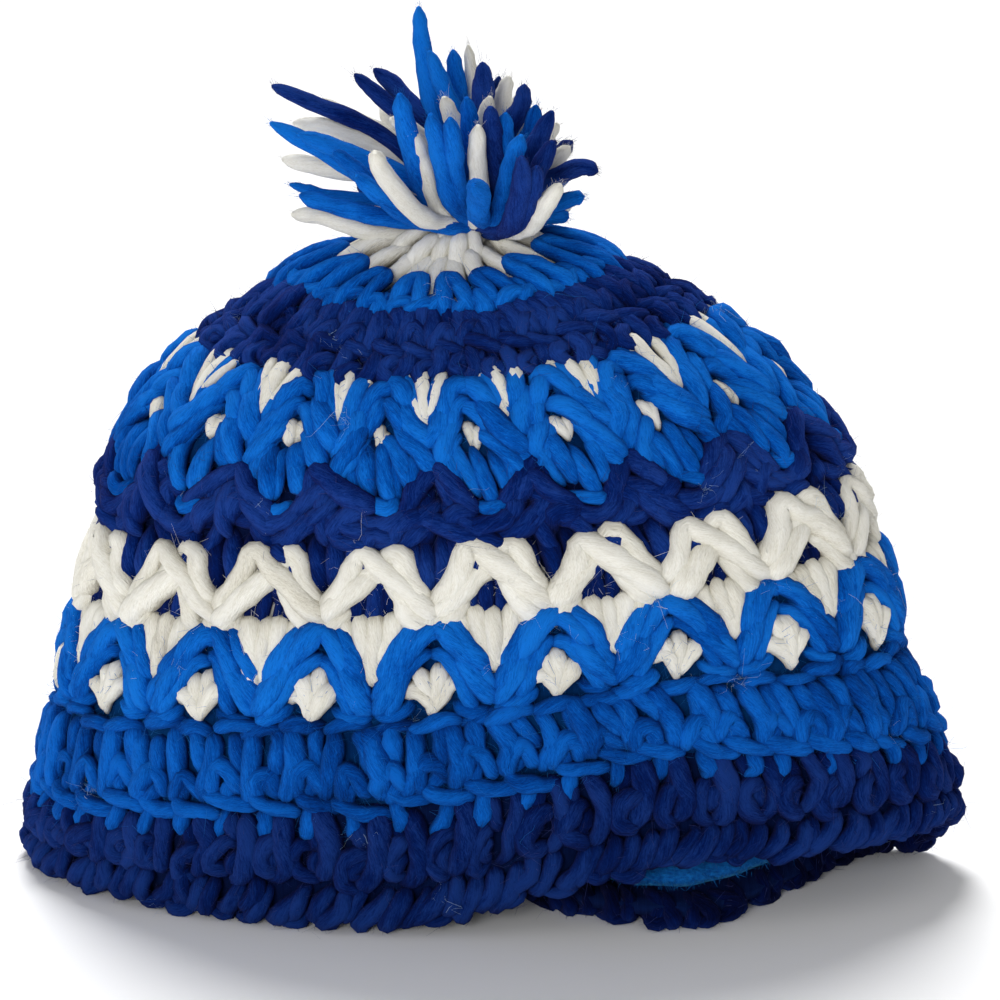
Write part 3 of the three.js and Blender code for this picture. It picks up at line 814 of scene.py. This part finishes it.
# The navy round: arms that sag under a cluster of bright posts, above upright posts
SAG = strands("""
    -0.6 120.6 3.4 2.3, -0.46 119.6 1.4 2.8, -0.33 115.6 0.2 3, -0.2 111.4 0.4 2.9, -0.08 108.8 1.8 2.4
    -0.6 115.4 2.8 2.3, -0.46 113.4 0.8 2.9, -0.3 109.8 0.1 3, -0.14 106.8 0.3 2.8, 0.02 105.8 2.2 2.3
    -0.56 110.4 2.8 2.1, -0.42 107.6 1 2.7, -0.26 104.8 0.6 2.8, -0.1 103 0.9 2.6, 0.04 102.8 2.8 2.1
    -0.5 124 3.2 1.9, -0.4 119.2 1 2.5, -0.3 113.6 0.8 2.6, -0.22 108.2 2.6 2.1
""")
CUP = strands("""
    -0.26 110.4 2.6 2.2, -0.12 108.2 0 2.8, 0.04 107.4 -0.4 2.9, 0.18 108.8 0.2 2.8, 0.28 111.4 2.4 2.2
""")
CLUSTER = strands("""
    -0.32 126.5 2.6 1.9, -0.3 122.6 0.8 2.3, -0.26 118.4 0.6 2.2, -0.21 115 2.4 1.6
    -0.17 127 2.4 2, -0.16 122.4 0.3 2.5, -0.13 117 -0.2 2.5, -0.1 113.2 1.4 1.9
    -0.01 127 2.4 2, 0 122 0.3 2.5, 0.05 116.6 -0.3 2.5, 0.08 112.8 1.2 2
    0.15 126.5 2.4 2, 0.16 122 0.6 2.5, 0.19 117.4 0.4 2.3, 0.19 114 2.2 1.8
    0.33 126 2.6 1.8, 0.33 122 0.9 2.2, 0.31 118.4 1.4 1.8, 0.3 116.6 2.8 1.2
    -0.16 113.8 2.2 1.8, -0.06 111.8 0.1 2.4, 0.08 111.6 0 2.4, 0.16 113.6 2.2 1.8
""")
# Loose loops that cross the sagging arms
TANGLE = strands("""
    -0.42 104 2.8 2.1, -0.36 108.5 0.1 2.8, -0.24 111.5 -0.4 2.9, -0.1 110 2.2 2.1
    0.46 118 2.8 2.1, 0.39 113.4 0 2.8, 0.28 109.8 -0.4 2.9, 0.16 106.6 2.4 2.1
    0.53 103 2.8 2, 0.47 106.8 0.2 2.7, 0.5 111 0 2.8, 0.58 114.4 2.6 2
    -0.14 101.5 2.8 2.1, 0 104.2 0.1 2.8, 0.14 104.8 0 2.8, 0.28 102.6 2.6 2.1
""")


def low_post(across):
    """An upright navy post between the white peaks."""
    return [
        (across, 90.0, 3.6, 2.3), (across + 0.08, 95.0, 1.5, 2.8),
        (across + 0.05, 100.0, 1.2, 2.8), (across - 0.05, 106.0, 3.2, 2.3),
    ]


def middle_band():
    piece = Piece("middle_band_yarn", navy, blue, navy_gap_shade)
    lay_all(piece, map(low_post, (0.0, 0.48)), every_stitch + 0.05, width=STITCH, rings=10, jitter=0.8)
    lay_all(piece, SAG, every_repeat, both_ways=0.02, rings=13, jitter=1.5)
    lay_all(piece, CUP, every_repeat, jitter=0.8)
    lay_all(piece, TANGLE, every_repeat, rings=10, jitter=1.9)
    lay_all(piece, CLUSTER, every_repeat, rings=10, slot=1, jitter=1.0)
    ground(piece, "zigzag", "middle_top")
    finish_piece(piece, "middle_band", "navy")


# The upper chevrons, with white drops in their middles and white Vs between them
UPPER_ARM = strands("""
    -0.1 141 2.8 2.2, 0.04 142.8 0.3 2.8, 0.17 140.8 -0.5 3.1, 0.27 136.8 0.1 2.9, 0.33 133.2 2.6 2.1
    0.18 139.4 2.8 2.2, 0.27 136 0.1 2.9, 0.37 131.6 -0.5 3.2, 0.47 128.2 0.1 2.9, 0.56 125.2 2.4 2.2
    -0.06 136.2 2.8 2.1, 0.06 137.2 0.3 2.7, 0.16 134.6 0 2.9, 0.24 131 0.8 2.6, 0.28 128.2 2.8 2
    0.13 133.8 2.8 2.1, 0.23 130.4 0.3 2.8, 0.33 126.4 0 2.9, 0.42 123 0.4 2.6, 0.48 120.4 2.4 2
    0.08 131 2.8 1.9, 0.18 128.8 0.7 2.4, 0.29 124.4 0.3 2.5, 0.37 120.6 0.6 2.2, 0.41 117.6 2.4 1.6
    0.22 145.4 3 2, 0.28 143.4 1 2.5, 0.36 138.8 0.6 2.6, 0.43 133.8 0.9 2.3, 0.49 130 2.8 1.8
""")
SMALL_DROP = strands("""
    -0.1 131.4 3 1.5, -0.05 131 1.3 1.9, -0.01 128.4 1.1 1.6, 0.01 126.4 2.4 1
    0.08 131.8 3 1.4, 0.05 130.6 1.4 1.8, 0.03 128.2 1.2 1.5, 0.02 126.2 2.6 0.9
""")
VEE = strands("""
    -0.29 147.4 2.8 1, -0.25 145.4 0.4 1.4, -0.15 140 0.1 1.6, -0.04 134.6 0.3 1.4, 0 131.6 2 1
    -0.06 147.4 2.8 1.5, -0.05 145.2 0.1 2, -0.02 140 -0.2 2.1, 0 134.8 0.2 1.7, 0.01 131.2 2 1.1
    0.25 147.4 2.8 1.2, 0.22 145.4 0.3 1.7, 0.15 140.2 0 1.9, 0.06 135.2 0.2 1.6, 0.02 131.8 2 1
""")


def upper_zigzag():
    piece = Piece("upper_zigzag_yarn", blue, cream, blue_gap_shade)
    lay_all(piece, UPPER_ARM, every_repeat, both_ways=0.01, rings=12, jitter=0.9)
    lay_all(piece, SMALL_DROP, every_repeat, rings=10, slot=1, jitter=0.5)
    lay_all(piece, VEE, every_repeat + 0.5, rings=13, slot=1, jitter=0.5)
    ground(piece, "middle_top", "upper_top")
    finish_piece(piece, "upper_zigzag", "blue")


def crown_navy():
    """Two rounds of post stitches, two to a repeat, as there is less room here."""
    piece = Piece("crown_navy_yarn", navy, navy_gap_shade)
    post_round(piece, ROUND_POST, 144.2, 154.6, every_half + 0.2, 0.5, size=0.9, sides=6)
    post_round(piece, POST, 152.4, 166.0, every_half, 0.5, size=0.96, sides=7)
    ground(piece, "upper_top", "navy_crown")
    finish_piece(piece, "crown_navy", "navy")


# Loops like fingers that stand up round the white centre, a strand between each two, and a chain
FINGERS = 16
FINGER, BETWEEN, CROWN_CHAIN = strands("""
    -0.28 162.4 2.8 2.2, -0.25 165.6 0.2 2.6, -0.24 169.4 -1.2 2.6, -0.19 172.8 -1.9 2.4, 0 174.4 -1.8 2.2,
        0.19 172.8 -1.9 2.4, 0.25 169.4 -1.2 2.6, 0.28 165.6 0.2 2.6, 0.32 162.4 2.8 2.2
    -0.04 161.6 2.8 2, 0 164.6 0.7 2.5, 0.03 168.2 0.5 2.3, 0.02 170.6 2.2 1.7
    -0.2 163.8 2.4 1.8, 0 165.4 0.2 2.3, 0.22 166.8 -0.2 2.4, 0.42 166 0.4 2.2, 0.54 164.2 2.4 1.8
""")


def crown_blue():
    piece = Piece("crown_blue_yarn", blue, blue_gap_shade)
    fingers = np.arange(FINGERS) * REPEATS / FINGERS
    lay(piece, FINGER, fingers, rings=28, jitter=0.5)
    lay(piece, BETWEEN, fingers + REPEATS / FINGERS / 2, rings=10, jitter=0.8)
    lay(piece, CROWN_CHAIN, every_half, rings=12, jitter=0.8)
    ground(piece, "navy_crown", "blue_crown")
    finish_piece(piece, "crown_blue", "blue")


# The white centre's rounds, from the outer one in: their strand, and how many of it each has
CROWN_ROUNDS = strands("""
    -0.05 169.5 3.4 2.2, 0 173 1 2.6, 0.06 177.5 -0.9 2.9, 0.1 181.5 -1.2 2.6, 0.12 184.2 0.6 2
    0 179.5 1 2, 0.05 182.5 -1.8 2.6, 0.15 186.5 -2.8 2.6, 0.3 190 -1.4 2
    0 186.5 -0.6 1.9, 0.2 189 -3 2.3, 0.6 192.5 -3.4 2.1, 1.1 194.5 -2.6 1.5
""")
CROWN_COUNTS = (20, 14, 9)
CROWN_COLUMNS = 216


def crown_white():
    """A low dome of short strands in three rounds, which close round the pompom's root."""
    piece = Piece("crown_white_yarn", cream)
    for count, strand in zip(CROWN_COUNTS, CROWN_ROUNDS):
        lay(piece, strand, (np.arange(count) + 0.3) * REPEATS / count, rings=12, jitter=0.5)
    turns = np.arange(CROWN_COLUMNS) / CROWN_COLUMNS * REPEATS
    edge = seam("blue_crown", turns)
    rise = np.linspace(0, 1, 8)[:, None]
    climb = edge + (TOP - 0.5 - edge) * rise
    piece.sheet(shell(turns, climb, 2.6 - 5.0 * rise, SHELL), scale=KNIT_SCALE)
    finish_piece(piece, "crown_white", "cream")


# Locks of the pompom as the photo shows them: tip's place to the right and up as seen, and towards
# the back, then how far the middle bows to the right and up, the radius and the yarn
LOCKS = """
    -13 59 4 -2 0 2.7 blue, -10 46 -4 2 0 2.6 blue, -30 41 2 1 2 2.3 navy, -25 43 6 2 2 2.7 navy,
    -52 38 2 0 4 2.4 navy, -41 35 8 0 4 2.5 cream, -47 29 8 0 4 2.5 cream, -52 27 -6 3 -4 2.6 blue,
    -44 23 -14 2 2 2.7 blue, -50 19 6 0 2 2.6 cream, -48 12 4 0 0 1.7 blue, -44 7 -14 0 -1 2.6 blue,
    -47 3 -4 0 -2 2.6 cream, -23 15 -40 -3 -4 2.8 cream, -17 31 -30 -3 -5 2.8 blue,
    -20 27 -14 0 2 2.4 cream, -14 22 -26 -2 -4 2.5 cream, -6 32 -18 0 0 2.4 cream, -9 25 -36 -2 -4 2.7 blue,
    -4 24 -36 -2 -4 2.7 blue, 6 33 -12 0 0 2.4 cream, 3 23 -30 0 -4 2.5 cream, 2 6 -46 1 -2 2.9 blue,
    10 27 -24 2 -4 2.7 blue, 18 31 -10 1 0 2.5 blue, -4 48 6 0 0 2.5 blue, 0 50 10 0 0 1.9 cream,
    4 43 -4 0 0 3 navy, 11 41 6 0 0 2.6 cream, 15 37 -6 0 0 2.7 navy, 0 31 -24 0 -3 2.6 blue,
    22 28 -20 -2 -6 2.9 navy, 24 27 -4 1 0 2.4 cream, 27 21 -4 1 0 2.4 cream, 34 13 -16 3 4 2.5 navy,
    24 8 -30 2 -5 2.7 cream, 31 8 -2 2 0 2.4 blue, 22 19 -30 0 -7 2.8 navy, 6 28 -28 2 -3 2.6 navy,
    -34 17 -26 -1 -1 2.6 blue, 14 14 -38 2 -5 2.7 navy, 28 24 8 1 1 2.5 navy, 14 20 -34 1 -6 2.8 blue,
    -28 10 -34 -2 -3 2.6 blue, 18 12 -34 2 -5 2.7 navy
"""
LOCK_ROOT = {"right": 4.3, "front": 3.0, "lower": 6.2}  # from the node's root to where the locks meet
LOCK_SCALE = (0.97, 0.97, 0.94)
LOCK_LEAN = (-2.6, 0, 0)
LOCK_RINGS = 26
# How thick a lock is at shares of its length from root to tip
LOCK_SHAPE = ([0, 0.25, 0.6, 0.82, 0.94, 1], [0.62, 0.85, 1.05, 0.98, 0.78, 0.55])
BACK_LOCKS = 44
BACK_REACH = {"left": 42, "right": 30, "away": 40, "up": 42}
POMPOM_YARNS = ("blue", "navy", "cream")


def front_locks():
    """Each lock's tip and bow, from the root, with its radius and its yarn, as the photo shows them."""
    for lock in LOCKS.split(","):
        *numbers, yarn = lock.split()
        right, up, back, bow_right, bow_up, size = map(float, numbers)
        rise = (up - math.sin(VIEW_ANGLE) * back) / math.cos(VIEW_ANGLE)
        yield (right, back, max(rise, 1.5)), (bow_right, 0, bow_up), size, yarn


def back_locks():
    """The same for the back, which the photo doesn't show: locks spread evenly from low to high."""
    for k in range(BACK_LOCKS):
        rise = 0.06 + 0.9 * k / BACK_LOCKS
        turn = math.pi * (0.02 + 0.96 * ((k * 2.4) % 1))
        flat = math.sqrt(1 - rise**2)
        side = "right" if math.cos(turn) > 0 else "left"
        reach = np.array([BACK_REACH[side], BACK_REACH["away"], BACK_REACH["up"]])
        way = (flat * math.cos(turn), flat * math.sin(turn), rise)
        tip = tuple(random.uniform(0.85, 1.05) * reach * way)
        bow = tuple(random.normal(size=3) * 1.5)
        yield tip, bow, random.uniform(2.2, 2.8), POMPOM_YARNS[k % 3]


def pompom():
    """The locks of cut strands, and the tie round their root."""
    tips, bows, sizes, yarns = (np.array(values) for values in zip(*front_locks(), *back_locks()))
    tips = tips * LOCK_SCALE + LOCK_LEAN
    root = np.array(POMPOM) + ORIGIN + (LOCK_ROOT["right"], -LOCK_ROOT["front"], -LOCK_ROOT["lower"])
    count = len(tips)
    start = root + unit(tips) * 2.0 + random.normal(size=(count, 3)) * (1.8, 1.2, 0.8)
    start[:, 1] += np.where(tips[:, 1] > 0, 3.0, 0)
    tip = root + tips
    middle = start * 0.52 + tip * 0.48 + bows * 1.4 + random.normal(size=(count, 3)) * 0.8
    quarter = start * 0.78 + tip * 0.22 + bows * 0.9
    late = start * 0.2 + tip * 0.8 + bows * 0.7 + random.normal(size=(count, 3)) * 0.6
    centres = spline(np.stack([start, quarter, middle, late, tip], 1), LOCK_RINGS)
    radii = sizes[:, None] * np.interp(np.linspace(0, 1, LOCK_RINGS), *LOCK_SHAPE)
    piece = Piece("pompom_yarn", blue, navy, cream)
    for slot, yarn in enumerate(POMPOM_YARNS):
        chosen = yarns == yarn
        piece.tubes(centres[chosen], radii[chosen], sides=10, slot=slot, twist=0.012)
    turn = np.linspace(0, 2 * math.pi, 20)
    tie = root + np.stack([4.5 * np.cos(turn), 2.0 + 3.5 * np.sin(turn), 0.4 * np.sin(3 * turn) - 1.5], -1)
    piece.tubes(tie[None], 1.8, slot=2)
    thing = piece.build()
    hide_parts("pompom")
    return centres, radii, yarns


RIBBON_UV = [(0, 0), (0.1, 0), (0.1, 1), (0, 1)]


def hairs(name, look, roots, ways, lengths, widths, curl, rows=2):
    """Loose fibres: a ribbon of rows of two points from each root, bent at random, wavy if it has many."""
    count = len(roots)
    width = random.uniform(*widths, count)
    w = np.linspace(0, 1, rows)[None, :, None]
    bend = random.normal(size=(count, 1, 3)) * curl
    wave = random.normal(size=(count, 1, 3)) * curl * 0.6
    ripple = random.normal(size=(count, 1, 3)) * curl * 0.5
    wavy = (wave * np.sin(w * 5) + ripple * np.sin(w * 9)) * w * (rows > 3)
    path = roots[:, None] + lengths[:, None, None] * (ways[:, None] * w + bend * w**2 + wavy)
    side = unit(np.cross(ways, random.normal(size=(count, 3))))[:, None]
    half = width[:, None, None] * (1 - 0.6 * w) / 2
    points = np.stack([path - side * half, path + side * half], 2)
    points[..., 2] = np.maximum(points[..., 2], LOWEST)
    base = np.arange(count)[:, None] * rows * 2 + np.arange(rows - 1)[None, :] * 2
    piece = Piece(name, look)
    piece.add(points, together(base, base + 1, base + 3, base + 2), np.tile(RIBBON_UV, (base.size, 1)))
    thing = piece.build()
    return thing


FUZZ = {"navy": 43000, "blue": 43000, "cream": 20000}
LONG_FUZZ = {"navy": 700, "blue": 700, "cream": 300}
LINT = {"clumps": 90, "fibres": 11}  # and how many fibres a clump has
FIBRE = (0.07, 0.12)  # width


def fuzz():
    """Short fibres that stand off every strand, some long ones, and clumps of pale lint."""
    everywhere = []
    for name, count in FUZZ.items():
        points, ways, along = (np.concatenate(part) for part in zip(*skins[name]))
        everywhere.append((points, ways))
        pick = random.integers(0, len(points), count)
        way = ways[pick] * 0.5 + along[pick] * random.normal(size=(count, 1))
        way = unit(way + random.normal(size=(count, 3)) * 0.45)
        lengths = random.gamma(2.2, 0.5, count) + 0.4
        hairs(name + "_fuzz", haze[name], points[pick], way, lengths, (0.07, 0.13), 0.5)
        pick = pick[: LONG_FUZZ[name]]
        few = len(pick)
        way = along[pick] * random.normal(size=(few, 1)) + random.normal(size=(few, 3)) * 0.7
        way = unit(way + ways[pick] * 0.4)
        lengths = random.uniform(3, 9, few)
        hairs(name + "_long_fuzz", haze[name], points[pick], way, lengths, FIBRE, 0.5, rows=9)
    points, ways = (np.concatenate(part) for part in zip(*everywhere))
    centres = random.integers(0, len(points), LINT["clumps"])
    clump = centres[random.integers(0, LINT["clumps"], LINT["clumps"] * LINT["fibres"])]
    count = len(clump)
    roots = points[clump] + ways[clump] * 0.5 + random.normal(size=(count, 3))
    way = unit(random.normal(size=(count, 3)))
    hairs("lint", pale, roots, way, random.uniform(1.5, 5, count), FIBRE, 0.7, rows=9)


WISPS = {"each": 230, "at_tip": 0.22}  # how many a lock has, and the share of them at its cut end


def pompom_wisps(centres, radii, yarns):
    """Short fibres that stand off the pompom's locks, most at their cut ends."""
    for yarn, look in haze.items():
        lock = np.flatnonzero(yarns == yarn).repeat(WISPS["each"])
        count = len(lock)
        at_tip = random.random(count) < WISPS["at_tip"]
        near_tip = random.integers(LOCK_RINGS - 3, LOCK_RINGS, count)
        ring = np.where(at_tip, near_tip, random.integers(3, LOCK_RINGS, count))
        ahead = np.minimum(ring + 1, LOCK_RINGS - 1)
        way = unit(centres[lock, ahead] - centres[lock, ahead - 1])
        aside = unit(random.normal(size=(count, 3)))
        outward = np.where(at_tip, 0.55, 0.85)[:, None]
        root = centres[lock, ring] + aside * radii[lock, ring][:, None] * outward
        way = unit(way + aside * np.where(at_tip, 0.2, 0.5)[:, None])
        lengths = np.where(at_tip, random.gamma(1.5, 0.45, count) + 0.3, random.uniform(0.4, 1.3, count))
        hairs("pompom_wisps_" + yarn, look, root, way, lengths, (0.05, 0.1), 0.4)


LINING_COLUMNS = 540
NAP = 6000


def lining():
    """The band of fleece inside the rim, with a nap along its lower edge."""
    look = fleece()
    piece = Piece("lining_fleece", look)
    turns = np.arange(LINING_COLUMNS) / LINING_COLUMNS * REPEATS
    ripple = 0.35 * np.sin(turns * 7.3) + 0.25 * np.sin(turns * 17.1)
    rise = np.linspace(0, 1, 9)[:, None]
    climb = LINING["low"] + ripple + (LINING["high"] - LINING["low"]) * rise
    inner = LINING["depth"] + FLEECE
    piece.sheet(shell(turns, climb, LINING["depth"] + 0.1, inner))
    edge = place(together(turns, climb[0], inner - 0.8))
    roots = edge[random.integers(0, len(edge), NAP)] + random.normal(size=(NAP, 3)) * 0.7
    thing = piece.build()
    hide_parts("lining_band")
    middle = place(together(turns, climb, LINING["depth"] + FLEECE / 2))
    way = unit(random.normal(size=(NAP, 3)) + (0, 0, -0.5))
    nap = hairs("lining_nap", look, roots, way, random.uniform(0.8, 2.4, NAP), (0.12, 0.24), 0.4)


rim_edge()
rim_band()
lower_band()
lower_zigzag()
white_zigzag()
middle_band()
upper_zigzag()
crown_navy()
crown_blue()
crown_white()
locks = pompom()
fuzz()
pompom_wisps(*locks)
lining()

VIEW = {"target": (3.5, 0, 99.5), "away": 707, "lens": 94.75, "film": 36}
# The studio, in metres
WORLD_LIGHT = 0.35
FLOOR = [(-8, -4, 0), (8, -4, 0), (8, 12, 0), (-8, 12, 0)]
HAT_MIDDLE = Vector((0, 0, 0.09))


def light(name, kind, spot, energy):
    lamp = bpy.data.lights.new(name, kind)
    lamp.energy = energy
    thing = bpy.data.objects.new(name, lamp)
    thing.location = spot
    thing.rotation_euler = (HAT_MIDDLE - thing.location).to_track_quat("-Z", "Y").to_euler()
    bpy.context.collection.objects.link(thing)
    return lamp


def studio():
    """A pale floor, a soft light from above and behind, and a fill from the front."""
    world = bpy.data.worlds.new("studio")
    bpy.context.scene.world = world
    world.use_nodes = True
    background = world.node_tree.nodes["Background"]
    background.inputs["Color"].default_value = (1, 1, 1, 1)
    background.inputs["Strength"].default_value = WORLD_LIGHT
    floor_mesh = bpy.data.meshes.new("floor")
    floor_mesh.from_pydata(FLOOR, [], [(0, 1, 2, 3)])
    floor = bpy.data.objects.new("floor", floor_mesh)
    bpy.context.collection.objects.link(floor)
    paper = Look("paper", {"Base Color": (0.95, 0.95, 0.95, 1), "Roughness": 0.9})
    floor_mesh.materials.append(paper.made)
    light("overhead", "SUN", (-0.12, 0.66, 1.09), 3.15).angle = math.radians(26)
    light("fill", "AREA", (-0.5, -1.6, 0.55), 13.5).size = 0.7


def camera():
    """The photo's view: from the front, and a little from above."""
    back = Vector((0, -math.cos(VIEW_ANGLE), math.sin(VIEW_ANGLE)))
    lens = bpy.data.cameras.new("view")
    lens.sensor_width = VIEW["film"]
    lens.lens = VIEW["lens"]
    thing = bpy.data.objects.new("view", lens)
    thing.location = Vector((np.array(VIEW["target"]) + ORIGIN) / 1000) + back * (VIEW["away"] / 1000)
    thing.rotation_mode = "QUATERNION"
    thing.rotation_quaternion = (-back).to_track_quat("-Z", "Y")
    bpy.context.collection.objects.link(thing)
    bpy.context.scene.camera = thing
    bpy.context.scene.view_settings.view_transform = "Standard"


studio()
camera()
